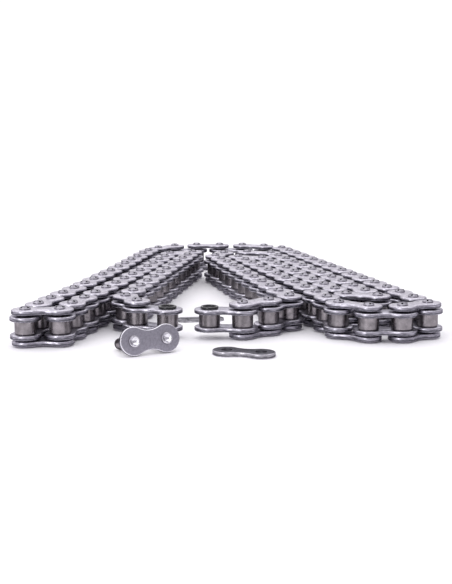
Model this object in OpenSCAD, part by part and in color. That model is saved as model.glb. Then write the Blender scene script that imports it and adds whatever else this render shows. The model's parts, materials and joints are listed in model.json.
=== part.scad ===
// Sealed roller chain for a motorcycle, opened and folded into two piles, with its connecting link.
// It lies on its side: the pins stand upright, +X runs to the right and +Y away from the viewer.

/* [Links] */
// Distance between neighbouring pin centres
pitch = 15.875; // [15.875:0.005:19.05]
// Clear width between the two inner plates
inner_width = 6.35; // [5:0.05:9.6]
// Thickness of every side plate
plate_t = 2.1; // [1.6:0.05:2.6]
// Room between two inner plates that are folded side by side, one pitch apart
fold_clearance = 1.3; // [1:0.05:2.5]
// How much lower an outer plate is than an inner plate
plate_step = 1.6; // [0.4:0.1:3]
// Depth of the waist on each side of a plate
waist_cut = 2; // [1:0.1:2.6]

/* [Pins, bushes and rollers] */
// Diameter of the pins
pin_d = 5.24; // [4.6:0.02:5.6]
// How far a staked pin end stands out of its outer plate
pin_end = 0.75; // [0.3:0.05:1.2]
// Chamfer on the pin ends
pin_chamfer = 0.25; // [0.1:0.05:0.5]
// Wall of the bushes
bush_wall = 1.02; // [0.8:0.02:1.3]
// Radial running gap between pin and bush, and between bush and roller
running_gap = 0.06; // [0.05:0.01:0.1]
// Radial gap drawn at a pressed joint, between pin and outer plate and between bush and inner plate
press_gap = 0.02; // [0.01:0.01:0.04]
// Diameter of the rollers
roller_d = 10.16; // [9.8:0.02:11]
// End play of a roller between its inner plates, on each side
roller_play = 0.1; // [0.06:0.02:0.3]
// Chamfer on the outer edges of a roller
roller_chamfer = 0.35; // [0.1:0.05:0.6]

/* [Seals] */
// Gap between an inner and an outer plate, which the seal fills
seal_gap = 0.95; // [0.6:0.05:1.2]
// Mean diameter of a seal ring
seal_d = 7.6; // [7:0.1:8.4]
// Section of a loose seal ring
seal_section = 1.25; // [1.2:0.05:1.5]
// Film between a fitted seal and each plate
seal_film = 0.06; // [0.05:0.01:0.1]

/* [Piles] */
// Angle of the left rows from the viewing direction
left_lean = 10.5; // [9:0.5:12]
// Angle of the right rows from the viewing direction
right_lean = 15.5; // [14.5:0.5:17]
// Gap between the plates of rows that lie side by side
row_gap = 0.4; // [0.3:0.05:0.6]
// Bow of the two long left rows, to each side of their mean direction
left_bow = 2; // [0:0.1:2]

/* [Connecting link] */
// Yaw of the standing connecting link
kit_yaw = 28.5; // [0:0.5:45]
// Place of the standing connecting link, from the left free end's last pin
kit_offset = [-6.5, -35]; // [-60:0.5:60]
// Place of the press-on plate, from the right free end's last pin
press_plate_offset = [16, -37.5]; // [-60:0.5:60]
// Yaw of the press-on plate
press_plate_yaw = -16; // [-45:0.5:45]
// Place of the spring clip's round end, from the left free end's last pin
clip_offset = [6.5, 42]; // [-60:0.5:60]
// Yaw of the spring clip
clip_yaw = 10; // [-45:0.5:45]
// Thickness of the spring clip
clip_t = 1.2; // [0.8:0.1:1.6]
// Width of the spring clip around each pin
clip_w = 9.4; // [9:0.1:11]
// Depth of the pin grooves that the clip snaps into
clip_groove = 0.4; // [0.2:0.05:0.6]
// Gap between the clip's two legs
clip_slit = 1.6; // [1:0.1:2.4]

/* [Hidden] */
$fn = 48;
inner_plate_h = pitch - fold_clearance;
outer_plate_h = inner_plate_h - plate_step;
// Heights of the layers, from the table up
z_outer_low = pin_end;
z_inner_low = z_outer_low + plate_t + seal_gap;
z_core = z_inner_low + plate_t;
z_inner_top = z_core + inner_width;
z_outer_top = z_inner_top + plate_t + seal_gap;
pin_len = z_outer_top + plate_t + pin_end;
bush_len = inner_width + 2 * plate_t;
bush_in_d = pin_d + 2 * running_gap;
bush_out_d = bush_in_d + 2 * bush_wall;
roller_in_d = bush_out_d + 2 * running_gap;
roller_len = inner_width - 2 * roller_play;
seal_h = seal_gap - 2 * seal_film;

// Spacing of rows whose lobes lie side by side, and of rows nested lobe to waist
plain_row = inner_plate_h + row_gap;
nested_row = inner_plate_h - waist_cut + row_gap;
plain_tilt = acos(plain_row / pitch);
nested_tilt = acos(nested_row / pitch);
// Headings of the rows that run away from the viewer
left_row = 90 - left_lean;
right_row = 90 + right_lean;
// The right outer turn and the right back turn each pass two rows. Their first two links have
// set headings, and the last link takes the heading that gives the row spacing.
outer_turn = [212, 180];
back_turn = [166, 196];
outer_turn_width = 2 * nested_row + plain_row;
back_turn_width = 3 * nested_row;
turn_left = right_row + 90;
function turn_rest(turn, width) = acos(width / pitch - cos(turn[0] - turn_left) - cos(turn[1] - turn_left));
outer_turn_end = turn_left - turn_rest(outer_turn, outer_turn_width);
back_turn_end = turn_left + turn_rest(back_turn, back_turn_width);

// The chain's route from its left free end to its right one: number of links, heading
route = [
  [1, 161], [1, 116],
  [11, left_row + 1.5], [1, left_row + 91.5 + nested_tilt],
  [4, left_row + 179.5 + left_bow], [4, left_row + 179.5], [5, left_row + 179.5 - left_bow],
  [1, left_row + 89.5 - left_bow + plain_tilt],
  [5, left_row - left_bow], [4, left_row], [5, left_row + left_bow],
  [1, 70], [1, 48], [1, 19], [1, 0], [1, -1], [1, -20], [1, -43],
  [14, right_row - 180],
  [1, outer_turn[0]], [1, outer_turn[1]], [1, outer_turn_end],
  [11, right_row], [1, right_row - 90 - nested_tilt],
  [9, right_row - 180], [1, right_row - 90 - nested_tilt],
  [11, right_row],
  [1, back_turn[0]], [1, back_turn[1]], [1, back_turn_end],
  [9, right_row - 181.7], [1, right_row - 178.5],
  [1, 228], [1, 216], [1, 176]
];
headings = [for (run = route) for (k = [1:run[0]]) run[1]];
link_count = len(headings);
function step(i) = pitch * [cos(headings[i]), sin(headings[i])];
walk = [for (i = 0, p = [0, 0]; i <= link_count; p = i < link_count ? p + step(i) : p, i = i + 1) p];
// The frame's origin is under the middle of the whole layout
lobe = inner_plate_h / 2;
press_plate_front = walk[link_count] + press_plate_offset
  - [0, outer_plate_h / 2 + pitch / 2 * abs(sin(press_plate_yaw))];
low = [min([for (p = walk) p[0]]) - lobe, press_plate_front[1]];
high = [max([for (p = walk) p[0]]) + lobe, max([for (p = walk) p[1]]) + lobe];
pins = [for (p = walk) p - (low + high) / 2];

// Link numbers: odd links are inner links, even links are outer links
// Links 41 to 50 are the free run round the back, between the two piles
left_rows = [3, 40];
right_rows = [51, 112];
function inner_in(span) = [for (i = [span[0]:span[1]]) if (i % 2 == 1) i];
function outer_in(span) = [for (i = [span[0]:span[1]]) if (i % 2 == 0) i];
function middle(i) = (pins[i - 1] + pins[i]) / 2;

// Lean of the standing connecting link: its pins slope down until their ends touch the table
pin_reach = pin_len - plate_t - pin_end;
kit_lean = atan((outer_plate_h - pin_d) / 2 / (pin_reach - pin_chamfer));
kit_rise = outer_plate_h / 2 * cos(kit_lean);
clip_hole_d = pin_d - 2 * clip_groove;

// Figure-of-eight outline: two round lobes, one pitch apart, joined by a waisted web
module plate_outline(height) {
  r = height / 2;
  w = r - waist_cut;
  // The waist arc bites a little into the lobes, so that the outlines cross cleanly
  bite = r - 0.05;
  waist_r = (pitch * pitch / 4 + w * w - bite * bite) / (2 * (bite - w));
  difference() {
    union() {
      for (side = [-1, 1])
        translate([side * pitch / 2, 0])
          circle(r);
      square([pitch, 1.7 * r], center = true);
    }
    for (side = [-1, 1])
      translate([0, side * (w + waist_r)])
        circle(waist_r);
  }
}

// One side plate with its two holes, lying on z = 0
module plate(height, hole_d) {
  linear_extrude(plate_t)
    difference() {
      plate_outline(height);
      for (side = [-1, 1])
        translate([side * pitch / 2, 0])
          circle(d = hole_d);
    }
}

module at_link(i) {
  translate(middle(i))
    rotate(headings[i - 1])
      children();
}

module at_pins_of(i) {
  for (k = [i - 1, i])
    translate(pins[k])
      children();
}

// Pin with chamfered ends, standing on z = 0
module pin() {
  straight = pin_len - 2 * pin_chamfer;
  small_r = pin_d / 2 - pin_chamfer;
  cylinder(h = pin_chamfer, r1 = small_r, r2 = pin_d / 2);
  translate([0, 0, pin_chamfer])
    cylinder(h = straight, d = pin_d);
  translate([0, 0, pin_len - pin_chamfer])
    cylinder(h = pin_chamfer, r1 = pin_d / 2, r2 = small_r);
}

// Hollow bush that joins the two inner plates
module bush() {
  translate([0, 0, z_inner_low])
    difference() {
      cylinder(h = bush_len, d = bush_out_d);
      translate([0, 0, -1])
        cylinder(h = bush_len + 2, d = bush_in_d);
    }
}

// Roller that turns on its bush
module roller() {
  r_in = roller_in_d / 2;
  r_out = roller_d / 2;
  c = roller_chamfer;
  translate([0, 0, z_core + roller_play])
    rotate_extrude()
      polygon([
        [r_in, 0], [r_out - c, 0], [r_out, c],
        [r_out, roller_len - c], [r_out - c, roller_len], [r_in, roller_len]
      ]);
}

// Seal ring squeezed between an inner and an outer plate
module fitted_seal() {
  difference() {
    cylinder(h = seal_h, d = seal_d + seal_section);
    translate([0, 0, -1])
      cylinder(h = seal_h + 2, d = seal_d - seal_section);
  }
}

// Seal ring with its free round section, lying on z = 0
module loose_seal() {
  translate([0, 0, seal_section / 2])
    rotate_extrude()
      translate([seal_d / 2, 0])
        circle(d = seal_section);
}

module inner_plates(links) {
  color([0.56, 0.55, 0.60])
    for (i = links)
      for (z = [z_inner_low, z_inner_top])
        at_link(i)
          translate([0, 0, z])
            plate(inner_plate_h, bush_out_d + 2 * press_gap);
}

module outer_plates(links) {
  color([0.62, 0.61, 0.66])
    for (i = links)
      for (z = [z_outer_low, z_outer_top])
        at_link(i)
          translate([0, 0, z])
            plate(outer_plate_h, pin_d + 2 * press_gap);
}

module chain_pins(links) {
  color([0.70, 0.69, 0.72])
    for (i = links)
      at_pins_of(i)
        pin();
}

module bushes(links) {
  color([0.45, 0.43, 0.45])
    for (i = links)
      at_pins_of(i)
        bush();
}

module rollers(links) {
  color([0.42, 0.38, 0.39])
    for (i = links)
      at_pins_of(i)
        roller();
}

// Four rings of each outer link: one above and one below the bush on each pin
module seals(links) {
  color([0.10, 0.10, 0.11])
    for (i = links)
      for (z = [z_inner_low - seal_gap, z_inner_top + plate_t])
        at_pins_of(i)
          translate([0, 0, z + seal_film])
            fitted_seal();
}

// Plates and bushes of one inner link, whose rollers are separate
module inner_link(i) {
  inner_plates([i]);
  bushes([i]);
}

module outer_link(i) {
  outer_plates([i]);
  chain_pins([i]);
}

// Roller that can be turned by itself, on the pin with this number
module one_roller(k) {
  color([0.42, 0.38, 0.39])
    translate(pins[k])
      roller();
}

// Loose ring laid on top of an end link, around the bush that the connecting pin enters
module end_seal(k) {
  color([0.10, 0.10, 0.11])
    translate([pins[k][0], pins[k][1], z_inner_top + plate_t + seal_film])
      loose_seal();
}

// The connecting link stands on the edge of its plate, with the two pins pointing away and down
module at_connecting_link() {
  place = pins[0] + kit_offset;
  translate([place[0], place[1], kit_rise])
    rotate([0, 0, kit_yaw])
      rotate([90 - kit_lean, 0, 0])
        children();
}

module at_connecting_pins() {
  at_connecting_link()
    for (side = [-1, 1])
      translate([side * pitch / 2, 0, 0])
        children();
}

module connecting_plate() {
  color([0.66, 0.65, 0.70])
    at_connecting_link()
      plate(outer_plate_h, pin_d + 2 * press_gap);
}

// Pins with a dished head at the fixed plate, and a ring groove near the free end for the clip
module connecting_pins() {
  dish_r = pin_d / 4;
  groove_z = -pin_reach + pin_end / 2;
  color([0.72, 0.71, 0.74])
    at_connecting_pins()
      difference() {
        translate([0, 0, -pin_reach])
          pin();
        translate([0, 0, plate_t + pin_end + dish_r * 0.6])
          sphere(dish_r);
        translate([0, 0, groove_z])
          difference() {
            cylinder(h = clip_t, d = pin_d + 1);
            translate([0, 0, -1])
              cylinder(h = clip_t + 2, d = clip_hole_d);
          }
      }
}

// A loose ring hangs on each pin, behind the plate
module connecting_seals() {
  hang = (seal_d - seal_section - pin_d) / 2 - seal_film;
  color([0.10, 0.10, 0.11])
    at_connecting_pins()
      translate([0, -hang, -seal_section])
        loose_seal();
}

module press_plate() {
  place = pins[link_count] + press_plate_offset;
  color([0.36, 0.35, 0.38])
    translate(place)
      rotate(press_plate_yaw)
        plate(outer_plate_h, pin_d + 2 * press_gap);
}

// Flat clip: a round end that grips one pin groove and two legs that snap round the other
module spring_clip() {
  leg_end = pitch + clip_w / 2;
  color([0.50, 0.49, 0.53])
    translate(pins[0] + clip_offset)
      rotate(clip_yaw)
        linear_extrude(clip_t)
          difference() {
            union() {
              circle(d = clip_w);
              translate([0, -clip_w / 2])
                square([pitch, clip_w]);
              translate([pitch, 0])
                circle(d = clip_w);
            }
            circle(d = clip_hole_d);
            translate([pitch, 0])
              circle(d = clip_hole_d);
            translate([0, -clip_slit / 2])
              square([leg_end + 1, clip_slit]);
          }
}

inner_plates(inner_in(left_rows));  // left_rows_inner_plates
outer_plates(outer_in(left_rows));  // left_rows_outer_plates
chain_pins(outer_in(left_rows));  // left_rows_pins
bushes(inner_in(left_rows));  // left_rows_bushes
rollers(inner_in(left_rows));  // left_rows_rollers
seals(outer_in(left_rows));  // left_rows_seals
inner_plates(inner_in(right_rows));  // right_rows_inner_plates
outer_plates(outer_in(right_rows));  // right_rows_outer_plates
chain_pins(outer_in(right_rows));  // right_rows_pins
bushes(inner_in(right_rows));  // right_rows_bushes
rollers(inner_in(right_rows));  // right_rows_rollers
seals(outer_in(right_rows));  // right_rows_seals
inner_link(41);  // back_link_01_inner
one_roller(40);  // back_link_01_roller_1
one_roller(41);  // back_link_01_roller_2
outer_link(42);  // back_link_02_outer
seals([42]);  // back_link_02_seals
inner_link(43);  // back_link_03_inner
one_roller(42);  // back_link_03_roller_1
one_roller(43);  // back_link_03_roller_2
outer_link(44);  // back_link_04_outer
seals([44]);  // back_link_04_seals
inner_link(45);  // back_link_05_inner
one_roller(44);  // back_link_05_roller_1
one_roller(45);  // back_link_05_roller_2
outer_link(46);  // back_link_06_outer
seals([46]);  // back_link_06_seals
inner_link(47);  // back_link_07_inner
one_roller(46);  // back_link_07_roller_1
one_roller(47);  // back_link_07_roller_2
outer_link(48);  // back_link_08_outer
seals([48]);  // back_link_08_seals
inner_link(49);  // back_link_09_inner
one_roller(48);  // back_link_09_roller_1
one_roller(49);  // back_link_09_roller_2
outer_link(50);  // back_link_10_outer
seals([50]);  // back_link_10_seals
outer_link(2);  // left_end_outer_link
seals([2]);  // left_end_outer_seals
inner_plates([1]);  // left_end_inner_plates
bushes([1]);  // left_end_bushes
one_roller(1);  // left_end_roller_1
one_roller(0);  // left_end_roller_2
end_seal(0);  // left_end_loose_seal
inner_link(113);  // right_end_inner_link
one_roller(112);  // right_end_inner_link_roller_1
one_roller(113);  // right_end_inner_link_roller_2
outer_link(114);  // right_end_outer_link
seals([114]);  // right_end_outer_seals
inner_plates([115]);  // right_end_inner_plates
bushes([115]);  // right_end_bushes
one_roller(114);  // right_end_roller_1
one_roller(115);  // right_end_roller_2
end_seal(115);  // right_end_loose_seal
connecting_plate();
connecting_pins();
connecting_seals();
press_plate();
spring_clip();
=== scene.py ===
import json
import math

import bmesh
import bpy
from mathutils import Matrix, Vector

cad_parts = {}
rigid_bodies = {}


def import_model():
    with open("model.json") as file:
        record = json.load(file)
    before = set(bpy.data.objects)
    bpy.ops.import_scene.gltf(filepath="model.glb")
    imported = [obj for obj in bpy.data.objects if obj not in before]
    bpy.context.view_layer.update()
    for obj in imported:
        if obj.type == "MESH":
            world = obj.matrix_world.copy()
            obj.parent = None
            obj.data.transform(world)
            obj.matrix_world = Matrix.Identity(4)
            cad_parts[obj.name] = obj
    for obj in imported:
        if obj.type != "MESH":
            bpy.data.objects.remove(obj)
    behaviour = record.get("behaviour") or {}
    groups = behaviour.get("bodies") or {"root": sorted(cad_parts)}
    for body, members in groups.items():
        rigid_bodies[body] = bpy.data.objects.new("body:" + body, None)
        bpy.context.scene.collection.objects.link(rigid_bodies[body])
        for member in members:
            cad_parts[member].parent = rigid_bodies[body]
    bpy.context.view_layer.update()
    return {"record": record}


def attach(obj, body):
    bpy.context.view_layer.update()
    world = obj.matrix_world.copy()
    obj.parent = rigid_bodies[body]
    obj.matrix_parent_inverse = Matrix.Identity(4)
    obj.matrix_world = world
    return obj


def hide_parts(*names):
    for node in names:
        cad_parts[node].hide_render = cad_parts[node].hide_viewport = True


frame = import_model()

# Route of the chain.
# The opened chain lies on its side and is folded back and forth into two piles of rows.
# Pin k stands upright at pins[k]. Link i joins pins i - 1 and i: odd links are inner, even ones outer.
mm = 0.001
pitch = 15.875 * mm
fold_clearance = 1.3 * mm
inner_height = pitch - fold_clearance
plate_step = 1.6 * mm
outer_height = inner_height - plate_step
waist_cut = 2.0 * mm
row_gap = 0.4 * mm
plain_row = inner_height + row_gap
nested_row = plain_row - waist_cut
plain_tilt = math.degrees(math.acos(plain_row / pitch))
nested_tilt = math.degrees(math.acos(nested_row / pitch))
left_lean = 10.5
left_row = 90 - left_lean
right_lean = 15.5
right_row = 90 + right_lean


def turn_rest(first, second, width):
    """Angle of the last link of a right-hand turn, which brings the next row to its spacing."""
    across = right_row + 90
    covered = math.cos(math.radians(first - across)) + math.cos(math.radians(second - across))
    return math.degrees(math.acos(width / pitch - covered))


left_bow = 2
outer_turn = [212, 180]
outer_turn_end = right_row + 90 - turn_rest(*outer_turn, 2 * nested_row + plain_row)
back_turn = [166, 196]
back_turn_end = right_row + 90 + turn_rest(*back_turn, 3 * nested_row)
route = [
    [1, 161], [1, 116],
    [11, left_row + 1.5], [1, left_row + 91.5 + nested_tilt],
    [4, left_row + 179.5 + left_bow], [4, left_row + 179.5], [5, left_row + 179.5 - left_bow],
    [1, left_row + 89.5 - left_bow + plain_tilt],
    [5, left_row - left_bow], [4, left_row], [5, left_row + left_bow],
    [1, 70], [1, 48], [1, 19], [1, 0], [1, -1], [1, -20], [1, -43],
    [14, right_row - 180],
    [1, outer_turn[0]], [1, outer_turn[1]], [1, outer_turn_end],
    [11, right_row], [1, right_row - 90 - nested_tilt],
    [9, right_row - 180], [1, right_row - 90 - nested_tilt],
    [11, right_row],
    [1, back_turn[0]], [1, back_turn[1]], [1, back_turn_end],
    [9, right_row - 181.7], [1, right_row - 178.5],
    [1, 228], [1, 216], [1, 176],
]
headings = [math.radians(heading) for count, heading in route for _ in range(count)]
mount_place = {mount["name"]: Vector(mount["pos_m"]) for mount in frame["record"]["mounts"]}
pins = [mount_place["left_end_bush"].xy]
for heading in headings:
    pins.append(pins[-1] + pitch * Vector((math.cos(heading), math.sin(heading))))
route_tolerance = 0.05 * mm
if (pins[-1] - mount_place["right_end_bush"].xy).length > route_tolerance:
    raise ValueError("the route doesn't end at the right end's bush")


def at_pin(k, z=0):
    """Place of an upright piece on pin k."""
    return Matrix.Translation((*pins[k], z))


def at_link(i, z=0):
    """Place of a piece that lies along link i, from its middle."""
    middle = (pins[i - 1] + pins[i]) / 2
    return Matrix.Translation((*middle, z)) @ Matrix.Rotation(headings[i - 1], 4, "Z")


left_links = range(3, 41)
right_links = range(51, 113)
back_links = {f"back_link_{n:02d}": 40 + n for n in range(1, 11)}

# Bushes.
# Hollow hardened steel tubes, two to each inner link, pressed into its plates, hidden by the rollers.
# Only their rims show in the plates' holes at the free ends, where the connecting pins enter.
z_inner_low = 3.8 * mm
plate_thickness = 2.1 * mm
inner_width = 6.35 * mm
z_core = z_inner_low + plate_thickness
z_inner_top = z_core + inner_width
bush_bore = 2.68 * mm
bush_outside = 3.70 * mm


def edit(piece, kind):
    """Goes into edit mode on one piece, with nothing selected there."""
    bpy.context.view_layer.objects.active = piece
    bpy.ops.object.mode_set(mode="EDIT")
    bpy.ops.mesh.select_mode(type=kind)
    bpy.ops.mesh.select_all(action="DESELECT")


def pick(piece, kind, wanted):
    """Selects the faces, edges or verts that wanted accepts, and nothing else."""
    bpy.ops.mesh.select_mode(type={"faces": "FACE", "edges": "EDGE", "verts": "VERT"}[kind])
    bpy.ops.mesh.select_all(action="DESELECT")
    mesh = bmesh.from_edit_mesh(piece.data)
    mesh.normal_update()
    for part in getattr(mesh, kind):
        if wanted(part):
            part.select_set(True)
    mesh.select_flush_mode()
    bmesh.update_edit_mesh(piece.data)


def cylinder(name, sides, radius, low, high):
    """A closed cylinder on the Z axis, with its place in its mesh."""
    bpy.ops.object.select_all(action="DESELECT")
    middle = (0, 0, (low + high) / 2)
    bpy.ops.mesh.primitive_cylinder_add(vertices=sides, radius=radius, depth=high - low,
                                        location=middle)
    bpy.ops.object.transform_apply(location=True, rotation=True, scale=True)
    piece = bpy.context.object
    piece.name = name
    return piece


def bored(piece, sides, radius, bore):
    """Bores a cylinder right through: both ends are inset and their middles bridged."""
    flat = math.cos(math.pi / sides)
    edit(piece, "FACE")
    pick(piece, "faces", lambda face: abs(face.normal.z) > 0.9)
    bpy.ops.mesh.inset(thickness=radius * flat - bore)
    bpy.ops.mesh.bridge_edge_loops()
    bpy.ops.object.mode_set(mode="OBJECT")


def smooth(piece, degrees):
    """Smooth shading over the round faces, sharp at the corners."""
    bpy.ops.object.select_all(action="DESELECT")
    piece.select_set(True)
    bpy.context.view_layer.objects.active = piece
    bpy.ops.object.shade_smooth_by_angle(angle=math.radians(degrees))


def link_nodes(tree, *pairs):
    """Links sockets in pairs, from an output to an input."""
    for out, into in pairs:
        tree.links.new(out, into)


def steel(name, dark, pale, grain, rough, dents, shallow=0.6):
    """Steel with mottled tone, uneven gloss and small tumbling dents.
    grain and dents are sizes in metres, and shallow is the share of the light that a peened surface
    still gives back at a shallow angle."""
    material = bpy.data.materials.new(name)
    material.use_nodes = True
    tree = material.node_tree
    shader = tree.nodes["Principled BSDF"]
    shader.inputs["Metallic"].default_value = 1
    shader.inputs["Specular Tint"].default_value = (shallow, shallow * 0.985, shallow * 1.03, 1)
    place = tree.nodes.new("ShaderNodeTexCoord")
    mottle = tree.nodes.new("ShaderNodeTexNoise")
    mottle.inputs["Scale"].default_value = 1 / grain
    mottle.inputs["Detail"].default_value = 5
    mottle.inputs["Roughness"].default_value = 0.65
    tone = tree.nodes.new("ShaderNodeValToRGB")
    tone.color_ramp.elements[0].position = 0.34
    tone.color_ramp.elements[0].color = (*dark, 1)
    tone.color_ramp.elements[1].position = 0.66
    tone.color_ramp.elements[1].color = (*pale, 1)
    gloss = tree.nodes.new("ShaderNodeMapRange")
    gloss.inputs["From Min"].default_value = 0.3
    gloss.inputs["From Max"].default_value = 0.7
    uneven = 0.09
    gloss.inputs["To Min"].default_value = rough + uneven
    gloss.inputs["To Max"].default_value = rough - uneven
    dent = tree.nodes.new("ShaderNodeTexNoise")
    dent.inputs["Scale"].default_value = 1 / dents
    dent.inputs["Detail"].default_value = 3
    bump = tree.nodes.new("ShaderNodeBump")
    bump.inputs["Strength"].default_value = 0.35
    dent_depth = 0.12
    bump.inputs["Distance"].default_value = dents * dent_depth
    link_nodes(
        tree,
        (place.outputs["Object"], mottle.inputs["Vector"]),
        (place.outputs["Object"], dent.inputs["Vector"]),
        (mottle.outputs["Fac"], tone.inputs["Fac"]),
        (mottle.outputs["Fac"], gloss.inputs["Value"]),
        (dent.outputs["Fac"], bump.inputs["Height"]),
        (tone.outputs["Color"], shader.inputs["Base Color"]),
        (gloss.outputs["Result"], shader.inputs["Roughness"]),
        (bump.outputs["Normal"], shader.inputs["Normal"]),
    )
    return material


def set_out(template, places, name, body, node):
    """Copies a finished shape to its places, each with its own mesh, and joins them into one piece."""
    bpy.ops.object.select_all(action="DESELECT")
    for place in places:
        copy = template.copy()
        copy.data = template.data.copy()
        copy.data.transform(place)
        bpy.context.scene.collection.objects.link(copy)
        copy.select_set(True)
        bpy.context.view_layer.objects.active = copy
    bpy.ops.object.join()
    piece = bpy.context.object
    piece.name = name
    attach(piece, body)
    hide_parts(node)
    return piece


inner_links = [
    ["left_rows", [i for i in left_links if i % 2], "left_rows_inner_plates", "left_rows_bushes"],
    ["right_rows", [i for i in right_links if i % 2], "right_rows_inner_plates", "right_rows_bushes"],
    ["left_end_inner_link", [1], "left_end_inner_plates", "left_end_bushes"],
    ["right_end_inner_link", [113], "right_end_inner_link", "right_end_inner_link"],
    ["right_end_last_link", [115], "right_end_inner_plates", "right_end_bushes"],
]
for body, i in back_links.items():
    if i % 2:
        inner_links.append([body, [i], body + "_inner", body + "_inner"])

bush_steel = steel("bush_steel", (0.42, 0.41, 0.43), (0.66, 0.65, 0.68),
                   1.6 * mm, 0.30, 0.6 * mm)
bush_sides = 16
bush = cylinder("bush", bush_sides, bush_outside, z_inner_low, z_inner_top + plate_thickness)
bored(bush, bush_sides, bush_outside, bush_bore)
bush.data.materials.append(bush_steel)
smooth(bush, 40)
for body, links, plates_node, bushes_node in inner_links:
    places = [at_pin(k) for i in links for k in (i - 1, i)]
    set_out(bush, places, body + "_bush_tubes", body, bushes_node)
bpy.data.objects.remove(bush)

# Inner plates.
# Figure-of-eight plates stamped from steel strip, shot-peened and tumbled, two to each inner link.
# Each is pressed on its two bushes. The tumbling leaves the rims rounded and worn, and they are painted
# brighter than the flats as a painted highlight.
edge_round = 0.32 * mm
web_spread = math.radians(62)
row_steps = [24, 3, 1]


def figure_eight(name, height, hole, steps, steels):
    """A side plate on z = 0: two lobes one pitch apart, joined by a waisted web, with two holes.
    steps are its facets round a lobe, along the web and over a rounded rim, and steels are the finishes
    of its flats, its rims and its sheared edge; the rims' finish is paler, a painted highlight."""
    lobe_steps, waist_steps, edge_steps = steps
    lobe = height / 2
    waist = lobe - waist_cut
    bpy.ops.object.select_all(action="DESELECT")
    bpy.ops.mesh.primitive_circle_add(vertices=lobe_steps, radius=hole,
                                      location=(-pitch / 2, 0, 0))
    bpy.ops.object.transform_apply(location=True, rotation=True, scale=True)
    piece = bpy.context.object
    piece.name = name
    for finish in steels:
        piece.data.materials.append(finish)
    # One lobe is a ring drawn out from its hole, and the other is its copy turned half round
    edit(piece, "EDGE")
    bpy.ops.mesh.select_all(action="SELECT")
    bpy.ops.mesh.extrude_edges_move()
    grow = lobe / hole
    bpy.ops.transform.resize(value=(grow, grow, 1), center_override=(-pitch / 2, 0, 0))
    bpy.ops.mesh.select_all(action="SELECT")
    bpy.ops.mesh.duplicate()
    bpy.ops.transform.rotate(value=math.pi, orient_axis="Z", center_override=(0, 0, 0))
    # The web bridges the rims that face each other, and its crosswise rows are drawn in to the waist
    reach = pitch / 2 - lobe * math.cos(web_spread)

    def facing(vert):
        from_hole = math.hypot(abs(vert.co.x) - pitch / 2, vert.co.y)
        return abs(vert.co.x) < reach and from_hole > lobe * 0.9

    pick(piece, "edges", lambda edge: all(facing(v) for v in edge.verts))
    bpy.ops.mesh.bridge_edge_loops(number_cuts=waist_steps, interpolation="LINEAR")
    waist_radius = (pitch * pitch / 4 + waist * waist - lobe * lobe) / (2 * (lobe - waist))
    mesh = bmesh.from_edit_mesh(piece.data)
    mesh.verts.index_update()
    rows = {}
    for vert in mesh.verts:
        x, y = vert.co.xy
        if abs(x) < reach and math.hypot(abs(x) - pitch / 2, y) > lobe * 1.001:
            # The share of the way to a lobe's rim is the same all along a crosswise row
            share = x / (pitch / 2 - math.sqrt(lobe * lobe - y * y))
            rows.setdefault(round(share, 3), {})[vert.index] = (abs(y), x)
    for members in rows.values():
        pick(piece, "verts", lambda vert: vert.index in members)
        widest, x = max(members.values())
        wanted = waist + waist_radius - math.sqrt(waist_radius ** 2 - x ** 2)
        bpy.ops.transform.resize(value=(1, wanted / widest, 1), center_override=(0, 0, 0))
    # Each half of the flat is made one face here, and cut into triangles at the end
    for half in (1, -1):
        pick(piece, "faces", lambda face: face.calc_center_median().y * half > 0)
        bpy.ops.mesh.dissolve_faces()
    bpy.ops.mesh.select_all(action="SELECT")
    upwards = {"value": (0, 0, plate_thickness)}
    bpy.ops.mesh.extrude_region_move(TRANSFORM_OT_translate=upwards)
    bpy.ops.mesh.select_all(action="SELECT")
    bpy.ops.mesh.normals_make_consistent(inside=False)
    # The edge takes its own finish, and its rims are rounded and painted brighter, a painted highlight

    def on_edge(face):
        spot = face.calc_center_median()
        from_hole = math.hypot(abs(spot.x) - pitch / 2, spot.y)
        return abs(face.normal.z) < 0.1 and from_hole > hole * 1.2

    pick(piece, "faces", on_edge)
    piece.active_material_index = 2
    bpy.ops.object.material_slot_assign()
    bpy.ops.mesh.region_to_loop()
    bpy.ops.mesh.bevel(offset=edge_round, segments=edge_steps, affect="EDGES", material=1)
    # The flats' corners are listed from the same one each run, and so are cut into the same triangles
    mesh = bmesh.from_edit_mesh(piece.data)
    for flat in [face for face in mesh.faces if len(face.verts) > 4]:
        corners = list(flat.verts)
        first = corners.index(min(corners, key=lambda vert: tuple(vert.co)))
        finish = flat.material_index
        mesh.faces.remove(flat)
        flat = mesh.faces.new(corners[first:] + corners[:first])
        flat.material_index = finish
        flat.normal_update()
    bmesh.update_edit_mesh(piece.data)
    pick(piece, "faces", lambda face: len(face.verts) > 4)
    bpy.ops.mesh.quads_convert_to_tris(ngon_method="BEAUTY")
    bpy.ops.object.mode_set(mode="OBJECT")
    smooth(piece, 50)
    # The edge's finish follows the height through the plate, wherever the plate is set
    height_through = piece.data.attributes.new("height_through", "FLOAT", "POINT")
    for vert in piece.data.vertices:
        height_through.data[vert.index].value = vert.co.z / plate_thickness
    return piece


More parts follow.
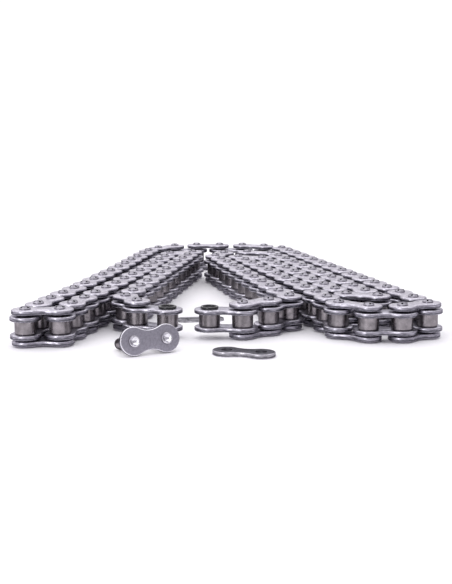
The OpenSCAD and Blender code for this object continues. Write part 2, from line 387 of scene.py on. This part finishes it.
def sheared(name, dark, pale, rough):
    """The punched edge of a plate: burnished above, torn and darker below, with level streaks."""
    material = steel(name, dark, pale, 1.5 * mm, rough, 0.5 * mm)
    tree = material.node_tree
    shader = tree.nodes["Principled BSDF"]
    place = tree.nodes.new("ShaderNodeTexCoord")
    level = tree.nodes.new("ShaderNodeMapping")
    level.inputs["Scale"].default_value = (350, 350, 1900)
    streaks = tree.nodes.new("ShaderNodeTexNoise")
    streaks.inputs["Scale"].default_value = 1
    streaks.inputs["Detail"].default_value = 3
    tone = tree.nodes.new("ShaderNodeValToRGB")
    tone.color_ramp.elements[0].position = 0.38
    tone.color_ramp.elements[0].color = (*dark, 1)
    tone.color_ramp.elements[1].position = 0.66
    tone.color_ramp.elements[1].color = (*pale, 1)
    through = tree.nodes.new("ShaderNodeAttribute")
    through.attribute_name = "height_through"
    ragged = tree.nodes.new("ShaderNodeMath")
    ragged.operation = "MULTIPLY_ADD"
    raggedness = 1.1
    ragged.inputs[1].default_value = raggedness
    ragged.inputs[2].default_value = -raggedness / 2
    torn = tree.nodes.new("ShaderNodeMath")
    torn.operation = "ADD"
    link_nodes(
        tree,
        (place.outputs["Object"], level.inputs["Vector"]),
        (level.outputs["Vector"], streaks.inputs["Vector"]),
        (streaks.outputs["Fac"], ragged.inputs[0]),
        (ragged.outputs["Value"], torn.inputs[0]),
        (through.outputs["Fac"], torn.inputs[1]),
        (torn.outputs["Value"], tone.inputs["Fac"]),
        (tone.outputs["Color"], shader.inputs["Base Color"]),
    )
    return material


inner_steel = steel("inner_plate_steel", (0.28, 0.27, 0.31), (0.58, 0.565, 0.62),
                    2.2 * mm, 0.36, 0.5 * mm, 0.8)
# The rims' paler tone is a painted highlight along the rounded rims, over their tumbled wear
rim_highlight_steel = steel("plate_rim_steel", (0.32, 0.308, 0.352), (0.74, 0.715, 0.785),
                  1.1 * mm, 0.27, 0.5 * mm)
# The plates' sheared edges are painted darker overall than the flats, a painted shade on the sides;
# their streaks and darker torn lower band are the punched edge itself
edge_shade_steel = sheared("plate_edge_steel", (0.11, 0.107, 0.128), (0.44, 0.425, 0.485), 0.34)
plate_steels = [inner_steel, rim_highlight_steel, edge_shade_steel]
inner_plate = figure_eight("inner_plate", inner_height, bush_outside, row_steps, plate_steels)
for body, links, plates_node, bushes_node in inner_links:
    places = [at_link(i, z) for i in links for z in (z_inner_low, z_inner_top)]
    set_out(inner_plate, places, body + "_inner_plate_set", body, plates_node)
bpy.data.objects.remove(inner_plate)

# Rollers.
# Hardened steel sleeves that turn freely on the bushes, so the sprocket's teeth roll and don't rub.
# They are turned and polished, with chamfered rims, and look darker and warmer than the plates.
roller_radius = 5.08 * mm
roller_bore = 3.76 * mm
roller_play = 0.1 * mm
roller_sides = 24
roller_chamfer = 0.35 * mm


def brushed_round(name, dark, pale, rough):
    """Polished round steel: fine rings round the turning axis, with soft tone patches."""
    material = steel(name, dark, pale, 3.5 * mm, rough, 0.8 * mm)
    tree = material.node_tree
    shader = tree.nodes["Principled BSDF"]
    place = tree.nodes.new("ShaderNodeTexCoord")
    stretch = tree.nodes.new("ShaderNodeMapping")
    stretch.inputs["Scale"].default_value = (250, 250, 5000)
    rings = tree.nodes.new("ShaderNodeTexNoise")
    rings.inputs["Scale"].default_value = 1
    rings.inputs["Detail"].default_value = 2
    bump = tree.nodes.new("ShaderNodeBump")
    bump.inputs["Strength"].default_value = 0.2
    bump.inputs["Distance"].default_value = 0.03 * mm
    link_nodes(
        tree,
        (place.outputs["Object"], stretch.inputs["Vector"]),
        (stretch.outputs["Vector"], rings.inputs["Vector"]),
        (rings.outputs["Fac"], bump.inputs["Height"]),
        (bump.outputs["Normal"], shader.inputs["Normal"]),
    )
    return material


def runs_level(edge):
    """Whether an edge runs round an upright piece, and not along it."""
    return abs(edge.verts[0].co.z - edge.verts[1].co.z) < 1e-6


roller_steel = brushed_round("roller_steel", (0.20, 0.185, 0.195), (0.32, 0.295, 0.31), 0.30)
roller_low = z_core + roller_play
roller_high = z_inner_top - roller_play
roller = cylinder("roller", roller_sides, roller_radius, roller_low, roller_high)
edit(roller, "EDGE")
pick(roller, "edges", runs_level)
bpy.ops.mesh.bevel(offset=roller_chamfer, segments=1, affect="EDGES")
bpy.ops.object.mode_set(mode="OBJECT")
bored(roller, roller_sides, roller_radius - roller_chamfer, roller_bore)
roller.data.materials.append(roller_steel)
smooth(roller, 35)
roller_groups = [
    ["left_rows", "left_rows_rollers", [k for i in left_links if i % 2 for k in (i - 1, i)]],
    ["right_rows", "right_rows_rollers", [k for i in right_links if i % 2 for k in (i - 1, i)]],
    ["left_end_roller_1", "left_end_roller_1", [1]],
    ["left_end_roller_2", "left_end_roller_2", [0]],
    ["right_end_inner_link_roller_1", "right_end_inner_link_roller_1", [112]],
    ["right_end_inner_link_roller_2", "right_end_inner_link_roller_2", [113]],
    ["right_end_roller_1", "right_end_roller_1", [114]],
    ["right_end_roller_2", "right_end_roller_2", [115]],
]
for body, i in back_links.items():
    if i % 2:
        roller_groups.append([body + "_roller_1", body + "_roller_1", [i - 1]])
        roller_groups.append([body + "_roller_2", body + "_roller_2", [i]])
for body, node, places in roller_groups:
    set_out(roller, [at_pin(k) for k in places], node + "_sleeve", body, node)
bpy.data.objects.remove(roller)

# Pins.
# Ground steel pins, two to each outer link, pressed into its plates and turning in the bushes.
# Each end is staked by four punch notches through its rim, painted near black as painted shade. The
# upper end stands up in a low dome.
pin_radius = 2.62 * mm
pin_length = 18.15 * mm
pin_sides = 16
pin_chamfer = 0.25 * mm
stake_rim = 0.22 * mm
stake_width = 0.95 * mm
stake_inside = 0.9 * mm
stake_depth = 0.5 * mm
stake_turn = 56.25
stake_from_plate = 45
dome_rim = 0.42 * mm
dome_top = 0.18 * mm

outer_links = [
    ["left_rows", [i for i in left_links if i % 2 == 0], "left_rows_outer_plates",
     "left_rows_pins", "left_rows_seals"],
    ["right_rows", [i for i in right_links if i % 2 == 0], "right_rows_outer_plates",
     "right_rows_pins", "right_rows_seals"],
    ["left_end_outer_link", [2], "left_end_outer_link", "left_end_outer_link",
     "left_end_outer_seals"],
    ["right_end_outer_link", [114], "right_end_outer_link", "right_end_outer_link",
     "right_end_outer_seals"],
]
for body, i in back_links.items():
    if i % 2 == 0:
        outer_links.append([body, [i], body + "_outer", body + "_outer", body + "_seals"])

pin_steel = steel("pin_steel", (0.26, 0.25, 0.28), (0.46, 0.445, 0.49),
                  1.2 * mm, 0.36, 0.4 * mm)
stake_steel = steel("stake_steel", (0.015, 0.014, 0.017), (0.05, 0.048, 0.055),
                    0.8 * mm, 0.6, 0.4 * mm)
pin = cylinder("pin", pin_sides, pin_radius, 0, pin_length)
pin.data.materials.append(pin_steel)
pin.data.materials.append(stake_steel)
edit(pin, "EDGE")
pick(pin, "edges", runs_level)
bpy.ops.mesh.bevel(offset=pin_chamfer, segments=1, affect="EDGES")
# The notches and the faces round them take the near-black finish, a painted shade
pin.active_material_index = 1
for side in (0, 1):
    end = side * pin_length

    def on_end(face):
        from_end = abs(face.calc_center_median().z - end)
        return abs(face.normal.z) > 0.9 and from_end < pin_chamfer / 2

    def punched(face):
        """Every fourth sector of an end, from the flat middle out to the chamfer."""
        spot = face.calc_center_median()
        near_end = abs(spot.z - end) < dome_rim + dome_top
        turn = math.degrees(math.atan2(spot.y, spot.x)) % 90
        ringed = stake_inside < spot.xy.length < pin_radius - pin_chamfer
        return near_end and ringed and abs(turn - stake_turn) < 2

    pick(pin, "faces", on_end)
    bpy.ops.mesh.inset(thickness=stake_rim)
    bpy.ops.transform.translate(value=(0, 0, side * dome_rim))
    bpy.ops.mesh.inset(thickness=stake_width)
    bpy.ops.transform.translate(value=(0, 0, side * dome_top))
    pick(pin, "faces", punched)
    inwards = {"value": (0, 0, stake_depth * (1 - 2 * side))}
    bpy.ops.mesh.extrude_region_move(TRANSFORM_OT_translate=inwards)
    bpy.ops.mesh.select_more(use_face_step=False)
    bpy.ops.object.material_slot_assign()
bpy.ops.object.mode_set(mode="OBJECT")
smooth(pin, 35)
for body, links, plates_node, pins_node, seals_node in outer_links:
    places = []
    for i in links:
        heading = headings[i - 1] + math.radians(stake_from_plate - stake_turn)
        turn = Matrix.Rotation(heading, 4, "Z")
        places += [at_pin(i - 1) @ turn, at_pin(i) @ turn]
    set_out(pin, places, body + "_staked_pins", body, pins_node)
bpy.data.objects.remove(pin)

# Outer plates.
# Like the inner plates but a little lower, so that they clear each other where the chain folds.
# They close each outer link over the staked pins, and take the most light because they lie on top.
z_outer_low = 0.75 * mm
z_outer_top = 15.3 * mm
outer_steel = steel("outer_plate_steel", (0.31, 0.298, 0.34), (0.62, 0.597, 0.66),
                    2.0 * mm, 0.38, 0.45 * mm, 1.0)
outer_steels = [outer_steel, rim_highlight_steel, edge_shade_steel]
outer_plate = figure_eight("outer_plate", outer_height, pin_radius, row_steps, outer_steels)
for body, links, plates_node, pins_node, seals_node in outer_links:
    places = [at_link(i, z) for i in links for z in (z_outer_low, z_outer_top)]
    set_out(outer_plate, places, body + "_outer_plate_set", body, plates_node)
bpy.data.objects.remove(outer_plate)

# Sealing rings.
# Black rubber rings squeezed between inner and outer plates, one at each end of each bush.
# They hold the grease in the bush, and show only as a dark oiled line between the plates.
ring_radius = 3.8 * mm
ring_section = 1.25 * mm
seal_gap = 0.95 * mm
seal_film = 0.06 * mm


def rubber(name):
    """Oiled black rubber with a faint moulded grain."""
    material = bpy.data.materials.new(name)
    material.use_nodes = True
    tree = material.node_tree
    shader = tree.nodes["Principled BSDF"]
    place = tree.nodes.new("ShaderNodeTexCoord")
    grain = tree.nodes.new("ShaderNodeTexNoise")
    grain.inputs["Scale"].default_value = 1 / (0.9 * mm)
    tone = tree.nodes.new("ShaderNodeValToRGB")
    tone.color_ramp.elements[0].color = (0.006, 0.006, 0.007, 1)
    tone.color_ramp.elements[1].color = (0.028, 0.027, 0.031, 1)
    gloss = tree.nodes.new("ShaderNodeMapRange")
    gloss.inputs["To Min"].default_value = 0.06
    gloss.inputs["To Max"].default_value = 0.20
    link_nodes(
        tree,
        (place.outputs["Object"], grain.inputs["Vector"]),
        (grain.outputs["Fac"], tone.inputs["Fac"]),
        (grain.outputs["Fac"], gloss.inputs["Value"]),
        (tone.outputs["Color"], shader.inputs["Base Color"]),
        (gloss.outputs["Result"], shader.inputs["Roughness"]),
    )
    return material


def ring(name, around, across):
    """A rubber ring of round section on the Z axis."""
    bpy.ops.object.select_all(action="DESELECT")
    bpy.ops.mesh.primitive_torus_add(major_radius=ring_radius, minor_radius=ring_section / 2,
                                     major_segments=around, minor_segments=across)
    piece = bpy.context.object
    piece.name = name
    return piece


seal_rubber = rubber("seal_rubber")
seal = ring("seal", 16, 6)
seal_height = seal_gap - 2 * seal_film
edit(seal, "VERT")
bpy.ops.mesh.select_all(action="SELECT")
hexagon_height = ring_section * math.sin(math.radians(60))
squeeze = seal_height / hexagon_height
bpy.ops.transform.resize(value=(1, 1, squeeze), center_override=(0, 0, 0))
bpy.ops.object.mode_set(mode="OBJECT")
seal.data.materials.append(seal_rubber)
smooth(seal, 60)
seal_levels = [z_inner_low - seal_gap / 2, z_inner_top + plate_thickness + seal_gap / 2]
for body, links, plates_node, pins_node, seals_node in outer_links:
    places = [at_pin(k, z) for i in links for k in (i - 1, i) for z in seal_levels]
    set_out(seal, places, body + "_squeezed_seals", body, seals_node)
bpy.data.objects.remove(seal)

# Loose sealing rings.
# The spare rings for the connecting link, of black rubber, with their free round section.
# One lies on top of each free end, round the bush that a connecting pin will enter.
flash_width = 0.06 * mm
flash_inside = ring_radius + ring_section * 0.499
loose_ring = ring("loose_ring", 40, 14)
edit(loose_ring, "EDGE")
pick(loose_ring, "edges", lambda edge: all(v.co.xy.length > flash_inside for v in edge.verts))
bpy.ops.mesh.bevel(offset=flash_width, segments=1, affect="EDGES")
bpy.ops.object.mode_set(mode="OBJECT")
loose_ring.data.materials.append(seal_rubber)
smooth(loose_ring, 60)
z_loose = z_inner_top + plate_thickness + seal_film + ring_section / 2
set_out(loose_ring, [at_pin(0, z_loose)], "left_end_loose_ring", "left_end_loose_seal",
        "left_end_loose_seal")
set_out(loose_ring, [at_pin(115, z_loose)], "right_end_loose_ring", "right_end_loose_seal",
        "right_end_loose_seal")

# Connecting link.
# The plate and two pins that close the chain, standing on the plate's edge, the pins pointing back.
# The plate is stamped and peened like the others. Its pins have bright dished heads and a clip groove.
kit_yaw = math.radians(28.5)
kit_offset = Vector((-6.5, -35)) * mm
kit_place = pins[0] + kit_offset
pin_end = 0.75 * mm
pin_reach = pin_length - plate_thickness - pin_end
kit_lean = math.atan((outer_height / 2 - pin_radius) / (pin_reach - pin_chamfer))
kit_rise = outer_height / 2 * math.cos(kit_lean)
kit = (Matrix.Translation((*kit_place, kit_rise)) @ Matrix.Rotation(kit_yaw, 4, "Z")
       @ Matrix.Rotation(math.pi / 2 - kit_lean, 4, "X"))
kit_steel = steel("connecting_plate_steel", (0.30, 0.289, 0.338), (0.42, 0.405, 0.465),
                  0.9 * mm, 0.45, 0.35 * mm)
# The connecting plate's rounded rims are painted far paler than its flats, a painted highlight
connecting_rim_highlight_steel = steel("coined_rim_steel", (0.70, 0.69, 0.74), (0.92, 0.91, 0.95),
                     1.0 * mm, 0.2, 0.5 * mm)
kit_steels = [kit_steel, connecting_rim_highlight_steel, edge_shade_steel]
close_steps = [48, 7, 3]
connecting_plate = figure_eight("connecting_plate_shape", outer_height, pin_radius, close_steps,
                                kit_steels)
set_out(connecting_plate, [kit], "connecting_plate_stamping", "connecting_link", "connecting_plate")

head_steel = steel("pin_head_steel", (0.62, 0.61, 0.65), (0.88, 0.87, 0.91),
                   1.2 * mm, 0.12, 0.8 * mm)
dish_steps = [[0.28, 0.0], [0.30, 0.34], [0.45, 0.40], [0.50, 0.26], [0.45, 0.10]]
groove_width = 1.2 * mm
groove_depth = 0.4 * mm
close_sides = 40
connecting_pin = cylinder("connecting_pin_shape", close_sides, pin_radius, -pin_reach,
                          plate_thickness + pin_end)
connecting_pin.data.materials.append(roller_steel)
connecting_pin.data.materials.append(head_steel)
edit(connecting_pin, "EDGE")
pick(connecting_pin, "edges", runs_level)
bpy.ops.mesh.bevel(offset=pin_chamfer, segments=2, affect="EDGES")
pick(connecting_pin, "faces", lambda face: face.normal.z > 0.97)
for inset, sink in dish_steps:
    bpy.ops.mesh.inset(thickness=inset * mm)
    bpy.ops.transform.translate(value=(0, 0, -sink * mm))
connecting_pin.active_material_index = 1
pick(connecting_pin, "faces", lambda face: face.calc_center_median().z > plate_thickness / 2)
bpy.ops.object.material_slot_assign()
groove_low = -pin_reach + pin_end / 2
groove_high = groove_low + groove_width
for cut in (groove_low, groove_high):
    bpy.ops.mesh.select_all(action="SELECT")
    bpy.ops.mesh.bisect(plane_co=(0, 0, cut), plane_no=(0, 0, 1))
pick(connecting_pin, "faces", lambda face: groove_low < face.calc_center_median().z < groove_high)
bpy.ops.mesh.extrude_region_move()
neck = (pin_radius - groove_depth) / pin_radius
bpy.ops.transform.resize(value=(neck, neck, 1), center_override=(0, 0, 0))
bpy.ops.object.mode_set(mode="OBJECT")
smooth(connecting_pin, 35)
sides = [Matrix.Translation((side * pitch / 2, 0, 0)) for side in (-1, 1)]
set_out(connecting_pin, [kit @ side for side in sides], "connecting_pin_pair", "connecting_link",
        "connecting_pins")
ring_hang = (2 * ring_radius - ring_section) / 2 - pin_radius - seal_film
hang = Matrix.Translation((0, -ring_hang, -ring_section / 2))
set_out(loose_ring, [kit @ side @ hang for side in sides], "connecting_rings", "connecting_link",
        "connecting_seals")
for shape in (connecting_plate, connecting_pin, loose_ring):
    bpy.data.objects.remove(shape)

# Press-on plate.
# The loose second plate of the connecting link, pressed on the pins before the clip goes on.
# It lies flat on the table in front, is hardened to a darker tone, and has the same rounded rims.
press_offset = Vector((16, -37.5)) * mm
press_place = pins[115] + press_offset
press_yaw = math.radians(-16)
press_steel = steel("press_plate_steel", (0.09, 0.087, 0.10), (0.20, 0.194, 0.215),
                    1.6 * mm, 0.42, 0.5 * mm)
# Its rounded rims are painted much paler than its dark flats, a painted highlight
press_rim_highlight_steel = steel("press_plate_rim_steel", (0.40, 0.388, 0.43), (0.76, 0.74, 0.79),
                        1.2 * mm, 0.28, 0.5 * mm)
press_edge_steel = sheared("press_plate_edge_steel", (0.12, 0.117, 0.13), (0.36, 0.35, 0.38), 0.36)
press_steels = [press_steel, press_rim_highlight_steel, press_edge_steel]
press_plate = figure_eight("press_plate_shape", outer_height, pin_radius, close_steps, press_steels)
press_flat = Matrix.Translation((*press_place, 0)) @ Matrix.Rotation(press_yaw, 4, "Z")
set_out(press_plate, [press_flat], "press_plate_stamping", "press_plate", "press_plate")
bpy.data.objects.remove(press_plate)

# Spring clip.
# A flat spring of hardened strip that snaps into the grooves of the connecting pins.
# Its closed end grips one pin and its legs close round the other. It lies loose behind the free ends.
clip_steel = steel("clip_steel", (0.22, 0.215, 0.235), (0.50, 0.49, 0.52),
                   1.8 * mm, 0.3, 0.6 * mm)
clip_thickness = 1.2 * mm
clip_radius = 4.7 * mm
clip_hole = pin_radius - groove_depth
clip_slit = 1.6 * mm
clip_round = 0.18 * mm
clip_sides = 48
clip_offset = Vector((6.5, 42)) * mm
clip_yaw = math.radians(10)
cut_low = -mm
cut_high = 3 * mm


def box(name, low, high):
    """A box between two corners, with its place in its mesh."""
    bpy.ops.object.select_all(action="DESELECT")
    bpy.ops.mesh.primitive_cube_add(size=1, location=(low + high) / 2, scale=high - low)
    bpy.ops.object.transform_apply(location=True, rotation=True, scale=True)
    piece = bpy.context.object
    piece.name = name
    return piece


def combine(piece, tool, operation):
    """Joins a tool shape to a piece or cuts it away, and removes the tool."""
    step = piece.modifiers.new(operation.lower(), "BOOLEAN")
    step.operation = operation
    step.object = tool
    step.solver = "EXACT"
    bpy.context.view_layer.objects.active = piece
    bpy.ops.object.modifier_apply(modifier=step.name)
    bpy.data.objects.remove(tool)


def shifted(piece, x):
    """Moves the mesh of a fresh piece along X."""
    piece.data.transform(Matrix.Translation((x, 0, 0)))
    return piece


clip = cylinder("clip_shape", clip_sides, clip_radius, 0, clip_thickness)
web_low = Vector((0, -clip_radius, 0))
web_high = Vector((pitch, clip_radius, clip_thickness))
combine(clip, box("clip_web", web_low, web_high), "UNION")
clip_tip = cylinder("clip_tip", clip_sides, clip_radius, 0, clip_thickness)
combine(clip, shifted(clip_tip, pitch), "UNION")
combine(clip, cylinder("clip_eye", close_sides, clip_hole, cut_low, cut_high), "DIFFERENCE")
clip_mouth = cylinder("clip_mouth", close_sides, clip_hole, cut_low, cut_high)
combine(clip, shifted(clip_mouth, pitch), "DIFFERENCE")
slit_low = Vector((0, -clip_slit / 2, cut_low))
slit_high = Vector((pitch + 2 * clip_radius, clip_slit / 2, cut_high))
combine(clip, box("clip_slot", slit_low, slit_high), "DIFFERENCE")
rounding = clip.modifiers.new("rounding", "BEVEL")
rounding.width = clip_round
rounding.segments = 2
rounding.limit_method = "ANGLE"
rounding.angle_limit = math.radians(50)
bpy.context.view_layer.objects.active = clip
bpy.ops.object.modifier_apply(modifier=rounding.name)
clip.data.materials.append(clip_steel)
smooth(clip, 40)
clip_place = pins[0] + clip_offset
clip_flat = Matrix.Translation((*clip_place, 0)) @ Matrix.Rotation(clip_yaw, 4, "Z")
set_out(clip, [clip_flat], "spring_clip_strip", "spring_clip", "spring_clip")
bpy.data.objects.remove(clip)

# Table.
# A wide, plain white surface, and a white wall far behind it that it runs into.
table_size = 12
wall_distance = 4
wall_middle = -4.9
bpy.ops.object.select_all(action="DESELECT")
bpy.ops.mesh.primitive_plane_add(size=table_size, location=(0, wall_distance, 0))
table = bpy.context.object
table.name = "table"
table_white = bpy.data.materials.new("table_white")
table_white.use_nodes = True
table_shader = table_white.node_tree.nodes["Principled BSDF"]
table_shader.inputs["Base Color"].default_value = (0.95, 0.94, 0.96, 1)
table_shader.inputs["Roughness"].default_value = 0.7
table.data.materials.append(table_white)
bpy.ops.mesh.primitive_plane_add(size=table_size, location=(0, wall_distance, wall_middle),
                                 rotation=(math.pi / 2, 0, 0))
wall = bpy.context.object
wall.name = "wall"
wall_white = bpy.data.materials.new("wall_white")
wall_white.use_nodes = True
wall_shader = wall_white.node_tree.nodes["Principled BSDF"]
wall_shader.inputs["Base Color"].default_value = (0.05, 0.05, 0.05, 1)
wall_shader.inputs["Emission Color"].default_value = (1, 1, 1, 1)
wall_shader.inputs["Emission Strength"].default_value = 1.0
wall.data.materials.append(wall_white)

# Light.
# A pale studio with a broad soft light high above the piles, and a tall soft box in front on the left.
# Most light comes from above, so the plates' edges and the rollers stay darker than the tops, the edges
# also by their painted shade.
world = bpy.data.worlds.new("studio")
bpy.context.scene.world = world
world.use_nodes = True
room = world.node_tree.nodes["Background"]
room.inputs["Color"].default_value = (0.95, 0.92, 1, 1)
room.inputs["Strength"].default_value = 0.52
high_tilt = (math.radians(-12), math.radians(-8), 0)
bpy.ops.object.light_add(type="SUN", location=(0, 0, 2), rotation=high_tilt)
high_light = bpy.context.object
high_light.name = "high_light"
high_light.data.energy = 2.4
high_light.data.angle = math.radians(115)
bpy.ops.object.light_add(type="AREA", location=(-0.62, -1.1, 0.45))
front_light = bpy.context.object
front_light.name = "front_light"
front_light.data.shape = "RECTANGLE"
front_light.data.size = 0.3
front_light.data.size_y = 0.8
front_light.data.energy = 4
front_light.rotation_euler = (math.radians(70), 0, math.radians(-29))
bpy.context.scene.view_settings.view_transform = "Standard"

# Camera.
# A long lens on a level stand, low in front of the piles, that looks along the rows.
camera_aside = 29.5 * mm
camera_back = 496.5 * mm
camera_above = 86.4 * mm
camera_dip = 9.41
camera_pan = 0.17
camera_place = Vector((pins[0].x + camera_aside, pins[0].y - camera_back, pin_length + camera_above))
camera_turn = (math.radians(90 - camera_dip), 0, math.radians(camera_pan))
bpy.ops.object.camera_add(location=camera_place, rotation=camera_turn)
camera = bpy.context.object
camera.data.sensor_fit = "HORIZONTAL"
camera.data.sensor_width = 36
camera.data.lens = 83.85
camera.data.clip_start = 0.01
bpy.context.scene.camera = camera
